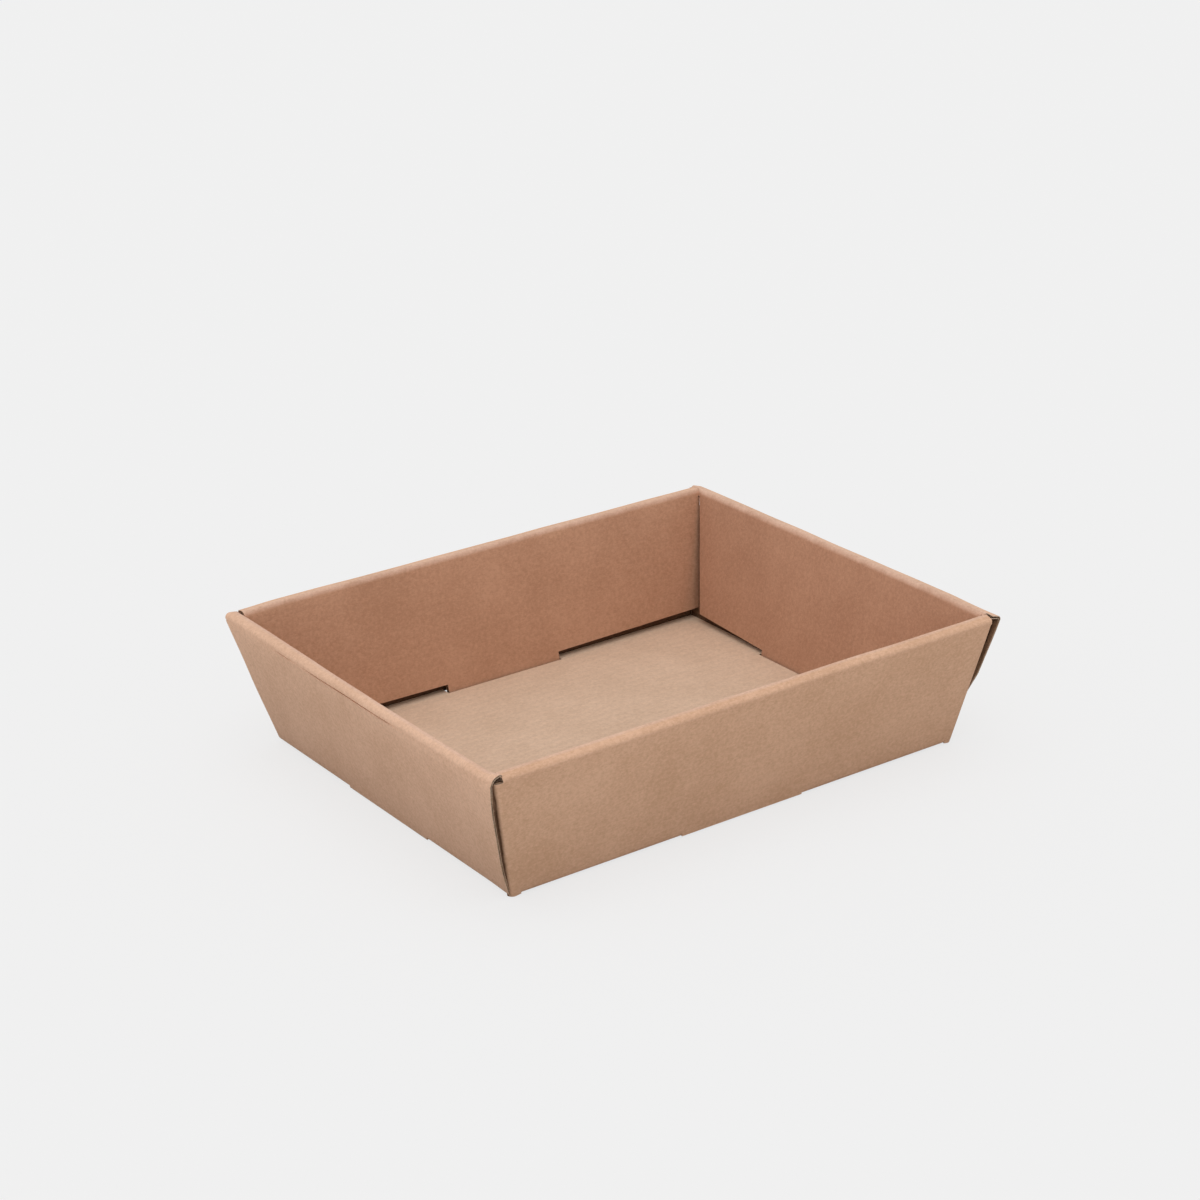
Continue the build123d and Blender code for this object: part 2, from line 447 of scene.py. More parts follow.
# End walls, folded at +Y too and turned into place, because the strip is always run along X
endWall = {
    "run": (300, 50), "innerFoot": 141.586, "inner": (99.65, 0.36324), "lipLow": 76.0,
    "tabHalf": 39.0, "slotHalf": 40.0, "tabZone": 12.0, "ledge": (3.3, 0.048), "ledgeZone": 16.0,
    "footShort": 0.8, "endColumns": (0, 1.5, 5), "endZone": 112.0,
}
leftRim = {"outerTop": 76.0, "outerIn": 1.0, "innerAt": 165.5, "innerTop": 77.2, "radii": (1.8, 0.5)}
rightRim = {"outerTop": 77.0, "outerIn": 0.2, "innerAt": 163.9, "innerTop": 78.9, "radii": (0.8, 0.6)}
# the rim's lip hangs inside past the inner layer's end; the slanted foot is cut back behind the corner's fold
fullEnd = {"outer": [(118.8, sideLean)], "lip": 135.8, "crush": 0.38}
openEnd = {"outer": [(118.8, sideLean)], "lip": 129.2, "crush": 0.68}
slantedEnd = {"outer": [(118.8, sideLean), (111.5, 0.39)], "lip": 129.2, "crush": 0.5, "notch": (131.2, 165.1)}


def makeEndWall(name, rim, ends):
    size = endWall
    line = foldedLine(tray["length"] / 2, endLean, size["innerFoot"], rim)
    sheet = foldedSheet(name, line, rim["radii"], *size["run"])
    foldTop = foldTopOf(endLean)
    outerFoot = tray["length"] / 2 - half * endSlope
    innerLean = (rim["innerAt"] - size["innerFoot"]) / rim["innerTop"]

    def isInner(c):
        return abs(c.y - size["innerFoot"] - innerLean * c.z) < 0.5 and c.z < rim["innerTop"] - 0.5

    score(sheet, (0, 0, tray["rimLow"]), (0, 0, 1))
    score(sheet, (0, 0, size["lipLow"]), (0, 0, 1), isInner)
    for side, corner in ends.items():
        scoreLedge(sheet, side, size)
        for foot, lean in corner["outer"]:
            for back in size["endColumns"]:
                scoreEnd(sheet, side, (foot - back, lean), lambda c: not isInner(c))
        scoreEnd(sheet, side, size["inner"], lambda c: isInner(c) and c.z < size["lipLow"])
        scoreEnd(sheet, side, (corner["lip"], 0), lambda c: isInner(c) and c.z > size["lipLow"])
        scoreTab(sheet, side, size)
        if "notch" in corner:  # a long wall's rim lies in it
            along, across = corner["notch"]
            score(sheet, (0, across, 0), (0, 1, 0), lambda c: c.z > size["lipLow"] and side * c.x > along - 6)
            scoreEnd(sheet, side, (along, 0), lambda c: c.z > size["lipLow"] and c.y < across)
            removeFaces(sheet, lambda c: c.z > size["lipLow"] and c.y < across and side * c.x > along)

    removeFaces(sheet, lambda c: (
        any(beyond(c, line) for line in ends[sideOf(c)]["outer"])
        or (isInner(c) and c.z < size["lipLow"] and beyond(c, size["inner"]))
        or (isInner(c) and c.z > size["lipLow"] and abs(c.x) > ends[sideOf(c)]["lip"])
        or (isInner(c) and c.z < ledgeAt(c, size) and abs(c.x) > size["tabHalf"])
        or (c.z < foldTop - same and c.y > outerFoot - 4 and abs(c.x) < size["slotHalf"])
    ))
    pick(sheet, "edge", lambda a, b: (
        max(abs(a.z - foldTop), abs(b.z - foldTop)) < close and min(a.y, b.y) > outerFoot
        and abs(a.x + b.x) / 2 < size["slotHalf"]
    ))
    drop = foldTop - size["footShort"]
    bpy.ops.mesh.extrude_region_move(TRANSFORM_OT_translate={"value": (0, -endLean * drop * mm, -drop * mm)})
    # cut ends are crushed a little
    pick(sheet, "point", lambda c: (
        c.z > foldTop and not isInner(c) and beyond(c, (size["endZone"], sideLean))
        and any(abs(abs(c.x) - foot - lean * c.z) < close for foot, lean in ends[sideOf(c)]["outer"])
    ))
    bpy.ops.object.mode_set(mode="OBJECT")
    for point, pinch in zip(sheet.data.vertices, sheet.data.attributes["pinch"].data):
        if point.select:
            pinch.value = ends[sideOf(point.co)]["crush"]
    return sheet


base = {"steps": (30, 24), "endSlot": 139.73, "sideSlot": 108.94}


def makeFloor(name):
    reachX = tray["length"] / 2 - tray["board"] - tray["foldInside"]
    reachY = tray["width"] / 2 - tray["board"] - tray["foldInside"]
    sheet = makeGrid(name, base["steps"], (2 * reachX, 2 * reachY), (0, 0, half))
    bpy.ops.object.mode_set(mode="EDIT")
    for side in (-1, 1):
        for x in (base["endSlot"], longWall["slotHalf"]):
            score(sheet, (side * x, 0, 0), (1, 0, 0))
        for y in (base["sideSlot"], endWall["slotHalf"]):
            score(sheet, (0, side * y, 0), (0, 1, 0))
    removeFaces(sheet, lambda c: (
        (abs(c.x) > base["endSlot"] and abs(c.y) < endWall["slotHalf"])
        or (abs(c.y) > base["sideSlot"] and abs(c.x) < longWall["slotHalf"])
    ))
    bpy.ops.object.mode_set(mode="OBJECT")
    return sheet


backSheet = makeLongWall("backSheet", backRim, {1: farRight, -1: farLeft})
frontSheet = makeLongWall("frontSheet", frontRim, {1: nearLeft, -1: nearRight})
turn(frontSheet, 180)
rightSheet = makeEndWall("rightSheet", rightRim, {1: slantedEnd, -1: fullEnd})
turn(rightSheet, -90)
leftSheet = makeEndWall("leftSheet", leftRim, {1: fullEnd, -1: openEnd})
turn(leftSheet, 90)
floorSheet = makeFloor("floorSheet")

# Listed pushes, where the real walls bulge or lean away at their ends
outerZone = 147.0  # the end walls' outer layers lie outside this at their foot
bulges = (  # the wall, its side, its near or far end, where that end begins, heights, reach and strength
    (leftSheet, -1, -1, 118.3, (18, 58), 34, 2.2), (leftSheet, -1, 1, 118.0, (35, 65), 40, 0.7),
    (rightSheet, 1, -1, 118.3, (42, 62), 30, 1.3),
)
rimPushes = (  # the wall, the low and high corner of the box that its points lie in, reach and shift
    (leftSheet, (-167.5, -200, 76.2), (0, -133.5, 99), 6, (1.2, 0, 1.1)),
    (backSheet, (-200, 0, 74), (-159, 200, 99), 25, (0, 0, -0.7)),
    (rightSheet, (0, -200, 75.5), (200, -126, 99), 36, (-0.3, 0, -0.9)),
)
overhang = {"from": 133.8, "above": 0.5, "by": 0.7}
for sheet, side, end, edge, heights, reach, strength in bulges:
    ease(sheet, lambda c: (
        heights[0] < c.z < heights[1]
        and side * c.x > outerZone + endLean * c.z and end * c.y > edge + sideLean * c.z
    ), reach, (side * strength, 0, 0))
for sheet, lowCorner, highCorner, reach, shift in rimPushes:
    ease(sheet, lambda c: all(a < b < d for a, b, d in zip(lowCorner, c, highCorner)), reach, shift)
for point in rightSheet.data.vertices:  # the rim's far end reaches over the long wall's edge
    if point.co.y > overhang["from"] * mm and point.co.z > (tray["rimLow"] + overhang["above"]) * mm:
        point.co.y += overhang["by"] * mm

# Towards the far end the left rim grows wider, and its outer crease higher
leftEnd = {
    "from": 10.0, "length": 126.0, "rim": 77.0, "outerFoot": 148.44, "outerDepth": 1.0, "blend": 3.5,
    "wider": 2.4, "higher": (-0.5, 0, 1.7),
}
for point in leftSheet.data.vertices:
    c = point.co / mm
    share = max(0, (c.y - leftEnd["from"]) / leftEnd["length"])
    inward = (c.x + leftEnd["outerFoot"] + endLean * c.z - leftEnd["outerDepth"]) / leftEnd["blend"]
    inward = min(1, max(0, inward))
    inward = inward ** 2 * (3 - 2 * inward)
    if c.z > half + 1:
        rise = c.z / leftEnd["rim"]
        point.co.x += leftEnd["wider"] * share * rise * inward * mm
        point.co += Vector(leftEnd["higher"]) * share ** 2 * rise ** 3 * (1 - inward) * mm

waves = {"strength": 1.6, "from": 12, "over": 40}
for sheet, direction, scale in (
    (backSheet, "Y", 60), (frontSheet, "Y", 45), (leftSheet, "X", 60), (rightSheet, "X", 60),
):
    waver(sheet, direction, waves["strength"], scale, waves["from"], waves["over"])

print("stage 2: board")


# Each sheet becomes corrugated board: two liners with a wavy medium between them

def spread(sheet, piece, level):
    # moves a copy's points off the sheet, to a level in the board: -1 is its outside and 1 its inside
    depth = half - liner["thickness"] / 2
    squeezed = sheet.data.attributes["pinch"].data
    normals = [point.normal.copy() for point in sheet.data.vertices]
    for point, normal, pinch in zip(piece.data.vertices, normals, squeezed):
        share = level(point.co / mm) if callable(level) else level
        point.co += normal * depth * (share * (1 - pinch.value) - pinch.value) * mm


def layLiners(sheet, name, outside, inside, cutEdge):
    # the sheet's own normals point to the side that shows on the tray's floor
    made = []
    for side, finish in ((-1, outside), (1, inside)):
        shell = duplicate(sheet, name)
        spread(sheet, shell, side)
        shell.data.materials.clear()
        shell.data.materials.append(finish)
        shell.data.materials.append(cutEdge)
        finishModifier(shell, "SOLIDIFY", thickness=liner["thickness"] * mm, offset=0, material_offset_rim=1)
        made.append(shell)
    work(made[0])
    made[1].select_set(True)
    bpy.ops.object.join()
    piece = bpy.context.object
    piece.name = piece.data.name = name
    bpy.ops.object.shade_smooth_by_angle(angle=radians(35))
    return piece


def layMedium(sheet, name, acrossOf, isAcross, finish):
    # only a band along the cut edges, because the rest is never seen
    strip = duplicate(sheet, name)
    bpy.ops.object.mode_set(mode="EDIT")
    bpy.context.tool_settings.mesh_select_mode = (True, False, False)
    bpy.ops.mesh.select_all(action="DESELECT")
    bpy.ops.mesh.select_non_manifold()
    bpy.ops.mesh.select_more()
    bpy.ops.mesh.select_all(action="INVERT")
    bpy.ops.mesh.delete(type="FACE")
    step = flute["pitch"] / flute["steps"]
    longest = 99  # long edges are cut into more parts than short ones
    for cuts in (11, 5, 2, 1):
        shortest = (cuts + 0.5) * step
        pick(strip, "edge", lambda a, b: isAcross(a, b) and shortest < (a - b).length <= longest)
        bpy.ops.mesh.subdivide(number_cuts=cuts)
        longest = shortest
    bpy.ops.object.mode_set(mode="OBJECT")
    depth = half - liner["thickness"] / 2
    rise = (depth - (liner["thickness"] + flute["thickness"]) / 2 - flute["clearance"]) / depth
    spread(strip, strip, lambda c: rise * sin(2 * pi * acrossOf(c) / flute["pitch"]))
    strip.data.materials.clear()
    strip.data.materials.append(finish)
    finishModifier(strip, "SOLIDIFY", thickness=flute["thickness"] * mm, offset=0)
    bpy.ops.object.shade_smooth_by_angle(angle=radians(50))
    return strip


def alongFold(c):
    # how far a point of a long wall is from the foot, measured over the board
    outward, foot = abs(c.y), tray["width"] / 2
    if c.z < flute["foldHigh"] and outward > flute["foldFrom"]:
        return outward
    depth = flute["crest"] + sideLean * c.z - outward
    if depth < flute["outerDepth"] or c.z < flute["foldHigh"]:
        return foot + c.z * sideSlope
    return foot + 2 * tray["height"] * sideSlope + flute["rimRun"] - c.z * flute["innerLength"]


# Kraft paper finishes

kraft = {
    "longLight": (0.76, 0.474, 0.314), "longDark": (0.62, 0.366, 0.226),
    # the end walls' outside is paler and less red than the long walls': painted light for the brighter light from
    # the left
    "endLight": (0.785, 0.507, 0.355), "endDark": (0.64, 0.393, 0.258),
    # darker, redder tones for the walls' inside faces: painted shade for the dim, reddened light inside the tray
    "longInnerLight": (0.63, 0.355, 0.228), "longInnerDark": (0.505, 0.271, 0.165),
    "endInnerLight": (0.59, 0.326, 0.209), "endInnerDark": (0.47, 0.245, 0.151),
    "floorLight": (0.825, 0.60, 0.44), "floorDark": (0.69, 0.486, 0.344),
    # pale tones on the rim's creases: real wear, with a painted highlight
    "wornLight": (0.84, 0.565, 0.425), "wornDark": (0.71, 0.45, 0.325),
    # near-black tones: painted shade in the hollows, slits and behind the corner folds
    "dirtyLight": (0.20, 0.105, 0.055), "dirtyDark": (0.12, 0.06, 0.03),
    "cutLight": (0.70, 0.53, 0.40), "cutDark": (0.42, 0.27, 0.17),
    "mediumLight": (0.45, 0.29, 0.19), "mediumDark": (0.30, 0.18, 0.11),
    "blotchScale": 26.0, "fibreScale": 520.0, "mottle": 1.3, "roughness": 0.82, "specular": 0.25,
    "relief": 0.12, "bumpStrength": 0.6, "bumpDistance": 0.0004,
}


def newGroup(name, takes, gives):
    group = bpy.data.node_groups.new(name, "ShaderNodeTree")
    for label, kind, value in takes:
        socket = group.interface.new_socket(name=label, in_out="INPUT", socket_type=kind)
        if value is not None:
            socket.default_value = value
    for label, kind in gives:
        group.interface.new_socket(name=label, in_out="OUTPUT", socket_type=kind)
    return group, addNode(group, "NodeGroupInput", (-900, 0)), addNode(group, "NodeGroupOutput", (900, 0))


def addNode(tree, kind, place, **values):
    node = tree.nodes.new(kind)
    node.location = place
    for name, value in values.items():
        label = name.replace("_", " ")
        if label in node.inputs:
            node.inputs[label].default_value = value
        else:
            setattr(node, name, value)
    return node


def addMath(tree, operation, place, *terms):
    node = addNode(tree, "ShaderNodeMath", place, operation=operation)
    for socket, term in zip(node.inputs, terms):
        if isinstance(term, (int, float)):
            socket.default_value = term
        else:
            tree.links.new(term, socket)
    return node.outputs[0]


def makePaperGroup():
    # mottled paper: soft blotches, clumps of fibre and fine streaks
    group, start, end = newGroup(
        "kraftPaper",
        [("Vector", "NodeSocketVector", None), ("Light", "NodeSocketColor", (0.6, 0.4, 0.3, 1)),
         ("Dark", "NodeSocketColor", (0.5, 0.3, 0.2, 1)), ("Blotch Scale", "NodeSocketFloat", 26.0),
         ("Fibre Scale", "NodeSocketFloat", 520.0), ("Mottle", "NodeSocketFloat", 1.0)],
        [("Color", "NodeSocketColor"), ("Height", "NodeSocketFloat")],
    )
    link = group.links.new
    blotch = addNode(group, "ShaderNodeTexNoise", (-500, 300), Detail=3.0, Roughness=0.6)
    clump = addNode(group, "ShaderNodeTexNoise", (-500, 0), Detail=4.0, Roughness=0.72)
    stretch = addNode(group, "ShaderNodeMapping", (-700, -300), Scale=(0.35, 1.0, 1.0), Rotation=(0.1, 0.2, 0.4))
    streak = addNode(group, "ShaderNodeTexNoise", (-500, -300), Detail=2.0, Roughness=0.6)
    double = addMath(group, "MULTIPLY", (-700, -500), start.outputs["Fibre Scale"], 2.3)
    link(start.outputs["Vector"], blotch.inputs["Vector"])
    link(start.outputs["Vector"], clump.inputs["Vector"])
    link(start.outputs["Vector"], stretch.inputs["Vector"])
    link(stretch.outputs["Vector"], streak.inputs["Vector"])
    link(start.outputs["Blotch Scale"], blotch.inputs["Scale"])
    link(start.outputs["Fibre Scale"], clump.inputs["Scale"])
    link(double, streak.inputs["Scale"])
    soft = addMath(group, "MULTIPLY_ADD", (-250, 300), blotch.outputs["Fac"], 1.1, -0.55)
    rough = addMath(group, "MULTIPLY_ADD", (-250, 0), clump.outputs["Fac"], 1.9, -0.95)
    fine = addMath(group, "MULTIPLY_ADD", (-250, -300), streak.outputs["Fac"], 1.0, -0.5)
    fibres = addMath(group, "ADD", (-50, -150), rough, fine)
    total = addMath(group, "ADD", (150, 50), soft, fibres)
    scaled = addMath(group, "MULTIPLY_ADD", (330, 50), total, start.outputs["Mottle"], 0.5)
    mix = addNode(group, "ShaderNodeMix", (600, 100), data_type="RGBA")
    link(scaled, mix.inputs["Factor"])
    link(start.outputs["Dark"], mix.inputs[6])
    link(start.outputs["Light"], mix.inputs[7])
    link(mix.outputs[2], end.inputs["Color"])
    link(fibres, end.inputs["Height"])
    return group


def makeRidgeGroup():
    # the flutes show through the liner as faint, uneven washboard lines
    group, start, end = newGroup(
        "fluteRidges",
        [("Vector", "NodeSocketVector", None), ("Across", "NodeSocketFloat", 0.0),
         ("Pitch", "NodeSocketFloat", 0.00635)],
        [("Ridge", "NodeSocketFloat")],
    )
    link = group.links.new
    wander = addNode(group, "ShaderNodeTexNoise", (-600, -200), Scale=30.0, Detail=2.0)
    link(start.outputs["Vector"], wander.inputs["Vector"])
    turns = addMath(group, "DIVIDE", (-600, 100), start.outputs["Across"], start.outputs["Pitch"])
    loose = addMath(group, "MULTIPLY_ADD", (-400, 0), wander.outputs["Fac"], 0.5, turns)
    angle = addMath(group, "MULTIPLY", (-200, 0), loose, 2 * pi)
    wave = addMath(group, "SINE", (0, 0), angle)
    strength = addMath(group, "MULTIPLY_ADD", (0, -250), wander.outputs["Fac"], 1.6, -0.3)
    uneven = addMath(group, "MULTIPLY", (200, 0), wave, strength)
    link(uneven, end.inputs["Ridge"])
    return group


def makeSideGroup():
    # 1 on the side of a leaning wall that faces the inside of the tray, where the painted shade of its inside face
    # goes
    group, start, end = newGroup(
        "innerSide",
        [("Outward", "NodeSocketFloat", 0.0), ("Height", "NodeSocketFloat", 0.0), ("Foot", "NodeSocketFloat", 0.1),
         ("Lean", "NodeSocketFloat", 0.2), ("Softness", "NodeSocketFloat", 0.0016)],
        [("Mask", "NodeSocketFloat")],
    )
    takes = start.outputs
    apart = addMath(group, "ABSOLUTE", (-500, 100), takes["Outward"])
    line = addMath(group, "MULTIPLY_ADD", (-500, -100), takes["Height"], takes["Lean"], takes["Foot"])
    inward = addMath(group, "SUBTRACT", (-300, 0), line, apart)
    depth = addMath(group, "DIVIDE", (-100, 0), inward, takes["Softness"])
    shown = addNode(group, "ShaderNodeMapRange", (150, 0), interpolation_type="SMOOTHSTEP")
    group.links.new(depth, shown.inputs["Value"])
    group.links.new(shown.outputs["Result"], end.inputs["Mask"])
    return group


def makeWearAndLightGroup():
    # where the paper is pale from wear and a painted highlight, more in some places than in others; a share of -1
    # picks the places with painted shade
    group, start, end = newGroup(
        "wearAndPaintedLightPatch",
        [("Vector", "NodeSocketVector", None), ("WearAndLight", "NodeSocketFloat", 0.0), ("Share", "NodeSocketFloat", 1.0),
         ("Scale", "NodeSocketFloat", 90.0)],
        [("Mask", "NodeSocketFloat")],
    )
    patch = addNode(group, "ShaderNodeTexNoise", (-500, 0), Detail=3.0, Roughness=0.65)
    group.links.new(start.outputs["Vector"], patch.inputs["Vector"])
    group.links.new(start.outputs["Scale"], patch.inputs["Scale"])
    share = addMath(group, "MULTIPLY_ADD", (-250, 0), patch.outputs["Fac"], 1.4, 0.1)
    signed = addMath(group, "MULTIPLY", (-250, -200), start.outputs["WearAndLight"], start.outputs["Share"])
    wearHighlightShade = addMath(group, "MULTIPLY", (0, 0), share, signed)
    limited = addNode(group, "ShaderNodeClamp", (250, 0))
    group.links.new(wearHighlightShade, limited.inputs["Value"])
    group.links.new(limited.outputs["Result"], end.inputs["Mask"])
    return group


paperGroup, ridgeGroup = makePaperGroup(), makeRidgeGroup()
sideGroup, wearAndLightGroup = makeSideGroup(), makeWearAndLightGroup()


def placeGroup(tree, group, place, **values):
    node = addNode(tree, "ShaderNodeGroup", place, node_tree=group)
    for name, value in values.items():
        node.inputs[name.replace("_", " ")].default_value = value
    return node


def kraftMaterial(name, light, dark, ridgeAxis=None, inner=None, paintedHeightLight=None, ridgeDepth=0.25, ridgeShade=0.03):
    # inner names the wall's direction, foot and lean, to give its inside face a darker, redder tone: painted shade
    # for the dim light inside the tray;
    # the height pair after it says how pale the outside is at the floor and at the rim: painted shade low down and
    # painted light up high
    material = bpy.data.materials.new(name)
    material.use_nodes = True
    tree = material.node_tree
    link = tree.links.new
    shader = tree.nodes["Principled BSDF"]
    shader.inputs["Roughness"].default_value = kraft["roughness"]
    shader.inputs["Specular IOR Level"].default_value = kraft["specular"]
    place = addNode(tree, "ShaderNodeTexCoord", (-1400, 0)).outputs["Object"]
    axes = addNode(tree, "ShaderNodeSeparateXYZ", (-1200, -300))
    link(place, axes.inputs["Vector"])
    scales = {"Blotch_Scale": kraft["blotchScale"], "Fibre_Scale": kraft["fibreScale"], "Mottle": kraft["mottle"]}
    paper = placeGroup(tree, paperGroup, (-900, 200), Light=(*light, 1), Dark=(*dark, 1), **scales)
    link(place, paper.inputs["Vector"])
    colour = paper.outputs["Color"]
    # painted shade towards the floor and painted light towards the rim, by height
    if paintedHeightLight:
        rising = addNode(
            tree, "ShaderNodeMapRange", (-900, 500), From_Max=tray["rimLow"] * mm, To_Min=paintedHeightLight[0], To_Max=paintedHeightLight[1]
        )
        heightShaded = addNode(tree, "ShaderNodeHueSaturation", (-750, 350))
        link(axes.outputs["Z"], rising.inputs["Value"])
        link(rising.outputs["Result"], heightShaded.inputs["Value"])
        link(colour, heightShaded.inputs["Color"])
        colour = heightShaded.outputs["Color"]
    # the inside face gets the darker, redder paper: painted shade
    if inner:
        axis, foot, lean, innerLight, innerDark = inner
        innerShaded = placeGroup(tree, paperGroup, (-900, -50), Light=(*innerLight, 1), Dark=(*innerDark, 1), **scales)
        link(place, innerShaded.inputs["Vector"])
        side = placeGroup(tree, sideGroup, (-900, -300), Foot=foot * mm, Lean=lean)
        link(axes.outputs[axis], side.inputs["Outward"])
        link(axes.outputs["Z"], side.inputs["Height"])
        blend = addNode(tree, "ShaderNodeMix", (-600, 100), data_type="RGBA")
        link(side.outputs["Mask"], blend.inputs["Factor"])
        link(colour, blend.inputs[6])
        link(innerShaded.outputs["Color"], blend.inputs[7])
        colour = blend.outputs[2]
        wearHighlightShade = addNode(tree, "ShaderNodeAttribute", (-900, 800), attribute_name="wearHighlightShade").outputs["Fac"]
        # pale tones for wear with a painted highlight, and near-black tones for painted shade
        for share, markTone in ((1, "worn"), (-1, "dirty")):
            worn = placeGroup(tree, wearAndLightGroup, (-600, 800 + 200 * share), Share=share)
            tone = placeGroup(
                tree, paperGroup, (-600, 450 + 100 * share),
                Light=(*kraft[markTone + "Light"], 1), Dark=(*kraft[markTone + "Dark"], 1), **scales,
            )
            mixed = addNode(tree, "ShaderNodeMix", (-350, 400 + 100 * share), data_type="RGBA")
            link(place, worn.inputs["Vector"])
            link(place, tone.inputs["Vector"])
            link(wearHighlightShade, worn.inputs["WearAndLight"])
            link(worn.outputs["Mask"], mixed.inputs["Factor"])
            link(colour, mixed.inputs[6])
            link(tone.outputs["Color"], mixed.inputs[7])
            colour = mixed.outputs[2]
    height = addMath(tree, "MULTIPLY", (-600, -300), paper.outputs["Height"], kraft["relief"])
    if ridgeAxis:
        ridges = placeGroup(tree, ridgeGroup, (-900, -550), Pitch=flute["pitch"] * mm)
        link(place, ridges.inputs["Vector"])
        link(axes.outputs[ridgeAxis], ridges.inputs["Across"])
        height = addMath(tree, "MULTIPLY_ADD", (-400, -400), ridges.outputs["Ridge"], ridgeDepth, height)
        tint = addMath(tree, "MULTIPLY_ADD", (-600, -550), ridges.outputs["Ridge"], ridgeShade, 1.0)
        toned = addNode(tree, "ShaderNodeHueSaturation", (-250, 150))
        link(tint, toned.inputs["Value"])
        link(colour, toned.inputs["Color"])
        colour = toned.outputs["Color"]
    bump = addNode(
        tree, "ShaderNodeBump", (-200, -300), Strength=kraft["bumpStrength"], Distance=kraft["bumpDistance"]
    )
    link(height, bump.inputs["Height"])
    link(colour, shader.inputs["Base Color"])
    link(bump.outputs["Normal"], shader.inputs["Normal"])
    return material


longPaper, endPaper = (kraft["longLight"], kraft["longDark"]), (kraft["endLight"], kraft["endDark"])
sideLiner = kraftMaterial(
    "kraftLongWall", *longPaper, ridgeAxis="Z",
    inner=("Y", 114.6, 0.2, kraft["longInnerLight"], kraft["longInnerDark"]), paintedHeightLight=(0.96, 1.11),
    ridgeDepth=0.1, ridgeShade=0.01,
)
endLiner = kraftMaterial(
    "kraftEndWall", *endPaper, ridgeAxis="Y",
    inner=("X", 144.6, 0.252, kraft["endInnerLight"], kraft["endInnerDark"]), paintedHeightLight=(0.87, 1.14),
    ridgeDepth=0.15, ridgeShade=0.01,
)
# the liners facing the walls' hollows are near black: painted shade for the dark inside the hollows and slits
hollowLiner = kraftMaterial("kraftHollow", kraft["dirtyLight"], kraft["dirtyDark"])
underLiner = kraftMaterial("kraftUnderside", *longPaper, ridgeAxis="Y")
insideLiner = kraftMaterial("kraftInside", kraft["floorLight"], kraft["floorDark"], ridgeAxis="Y")
cutEdge = kraftMaterial("kraftCutEdge", kraft["cutLight"], kraft["cutDark"])
mediumPaper = kraftMaterial("kraftMedium", kraft["mediumLight"], kraft["mediumDark"])

pieces = []
for sheet, name, outer, inner in (
    (backSheet, "backWall", sideLiner, hollowLiner), (frontSheet, "frontWall", sideLiner, hollowLiner),
    (rightSheet, "rightWall", endLiner, hollowLiner), (leftSheet, "leftWall", endLiner, hollowLiner),
    (floorSheet, "floorPanel", underLiner, insideLiner),
):
    pieces.append(layLiners(sheet, name, outer, inner, cutEdge))
    onLong = name in ("backWall", "frontWall")
    medium = layMedium(
        sheet, name + "Medium",
        alongFold if onLong else (lambda c: c.y),
        (lambda a, b: abs(a.x - b.x) < 0.6 * (a - b).length) if onLong
        else (lambda a, b: abs(a.y - b.y) > 0.8 * (a - b).length),
        mediumPaper,
    )
    pieces.append(medium)
    work(sheet)
    bpy.ops.object.delete()

for piece in pieces:
    for point in piece.data.vertices:
        point.co.z = max(point.co.z, 0)  # the leaning feet stand flat on the floor
    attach(piece, "root")
    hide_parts("tray")
    print(piece.name, len(piece.data.polygons))

print("stage 3: studio")
studio = {
    "camera": (-0.80071, -1.12938, 0.65151), "turn": (67.8247, 1.1982, -35.6128), "lens": 79.99,
    "grey": 0.882, "paper": 0.57, "horizon": 0.90, "leftward": 0.14, "middle": 0.54, "zenith": 0.17,
    "horizonAt": 0.3, "middleAt": 0.62, "zenithAt": 1.0, "floorSize": 40, "floorDrop": 0.0003,
    "sun": 0.33, "sunAngle": 55, "sunTurn": (3, 0, 0), "shadowShown": 0.3, "level": 0.93,
}


def makeFloorPaper():
    # shows the shadow only faintly, and nothing from below
    material = bpy.data.materials.new("studioPaper")
    material.use_nodes = True
    tree = material.node_tree
    link = tree.links.new
    shader = tree.nodes["Principled BSDF"]
    shader.inputs["Base Color"].default_value = (studio["paper"],) * 3 + (1,)
    shader.inputs["Roughness"].default_value = 1
    shader.inputs["Specular IOR Level"].default_value = 0
    lit = studio["shadowShown"] * studio["paper"] * studio["level"]
    unshaded = (studio["grey"] - lit) / (1 - studio["shadowShown"])
    flat = addNode(tree, "ShaderNodeEmission", (0, -300), Color=(unshaded,) * 3 + (1,), Strength=1)
    clear = addNode(tree, "ShaderNodeBsdfTransparent", (200, -450))
    rays = addNode(tree, "ShaderNodeLightPath", (-400, 300))
    facing = addNode(tree, "ShaderNodeNewGeometry", (-400, -100))
    share = addMath(tree, "MULTIPLY", (-100, 300), rays.outputs["Is Camera Ray"], 1 - studio["shadowShown"])
    mix = addNode(tree, "ShaderNodeMixShader", (300, 100))
    through = addNode(tree, "ShaderNodeMixShader", (500, 0))
    link(share, mix.inputs["Fac"])
    link(shader.outputs["BSDF"], mix.inputs[1])
    link(flat.outputs["Emission"], mix.inputs[2])
    link(facing.outputs["Backfacing"], through.inputs["Fac"])
    link(mix.outputs["Shader"], through.inputs[1])
    link(clear.outputs["BSDF"], through.inputs[2])
    link(through.outputs["Shader"], tree.nodes["Material Output"].inputs["Surface"])
    return material


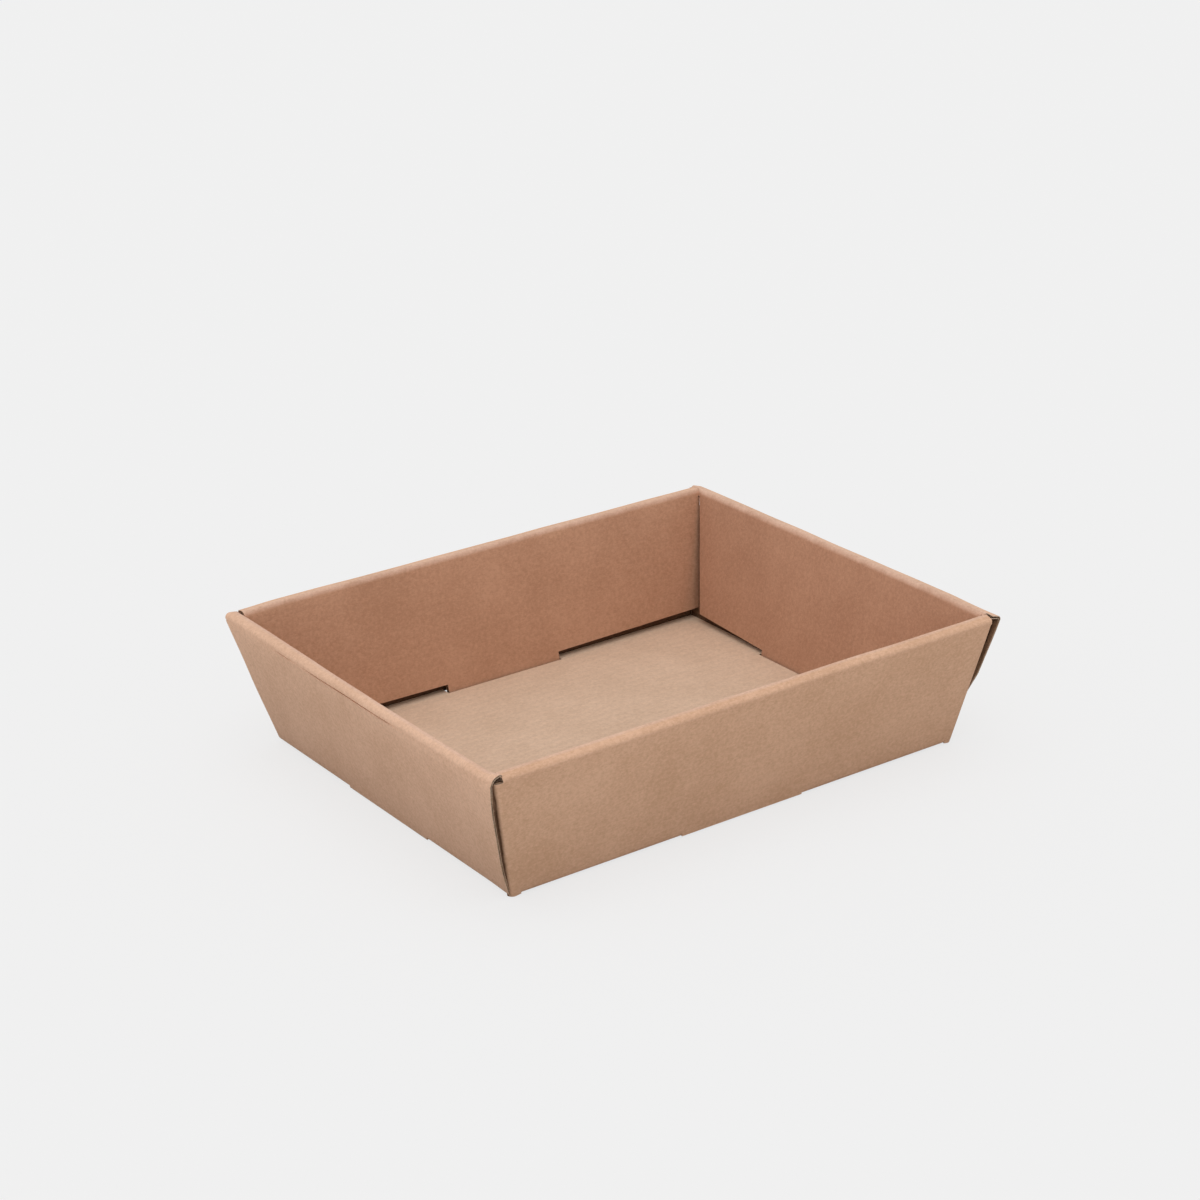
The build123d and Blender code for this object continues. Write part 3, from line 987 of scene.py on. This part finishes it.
def makeSky():
    # a bright surround at the horizon and darker above it; the lamp overhead is added in makeStudio
    world = bpy.data.worlds.new("studioSky")
    world.use_nodes = True
    tree = world.node_tree
    link = tree.links.new
    background = tree.nodes["Background"]
    place = addNode(tree, "ShaderNodeTexCoord", (-900, 0))
    axes = addNode(tree, "ShaderNodeSeparateXYZ", (-700, 0))
    ramp = addNode(tree, "ShaderNodeValToRGB", (-500, 0))
    rays = addNode(tree, "ShaderNodeLightPath", (-500, 300))
    mix = addNode(tree, "ShaderNodeMix", (-150, 100), data_type="RGBA")
    elements = ramp.color_ramp.elements
    for element, part in zip((elements[0], elements[1], elements.new(0.5)), ("horizon", "zenith", "middle")):
        element.position = studio[part + "At"]
        element.color = (studio[part],) * 3 + (1,)
    link(place.outputs["Generated"], axes.inputs["Vector"])
    link(axes.outputs["Z"], ramp.inputs["Fac"])
    aside = addMath(tree, "MULTIPLY_ADD", (-500, -250), axes.outputs["X"], -studio["leftward"], 1)
    sided = addNode(tree, "ShaderNodeMix", (-300, -50), data_type="RGBA", blend_type="MULTIPLY")
    sided.inputs["Factor"].default_value = 1
    link(ramp.outputs["Color"], sided.inputs[6])
    link(aside, sided.inputs[7])
    link(sided.outputs[2], mix.inputs[6])
    mix.inputs[7].default_value = (studio["grey"],) * 3 + (1,)
    link(rays.outputs["Is Camera Ray"], mix.inputs["Factor"])
    link(mix.outputs[2], background.inputs["Color"])
    return world


def makeStudio():
    bpy.ops.object.select_all(action="DESELECT")
    bpy.ops.object.camera_add(location=studio["camera"], rotation=[radians(a) for a in studio["turn"]])
    camera = bpy.context.object
    camera.data.lens = studio["lens"]
    camera.data.sensor_width = 36
    camera.data.clip_end = 60
    bpy.context.scene.camera = camera
    bpy.ops.object.light_add(type="SUN", location=(0, 0, 2), rotation=[radians(a) for a in studio["sunTurn"]])
    bpy.context.object.data.energy = studio["sun"]
    bpy.context.object.data.angle = radians(studio["sunAngle"])
    bpy.ops.mesh.primitive_plane_add(size=studio["floorSize"], location=(0, 0, -studio["floorDrop"]))
    floor = bpy.context.object
    floor.name = "studioFloor"
    floor.data.materials.append(makeFloorPaper())
    bpy.context.scene.world = makeSky()
    bpy.context.scene.view_settings.view_transform = "Standard"


makeStudio()
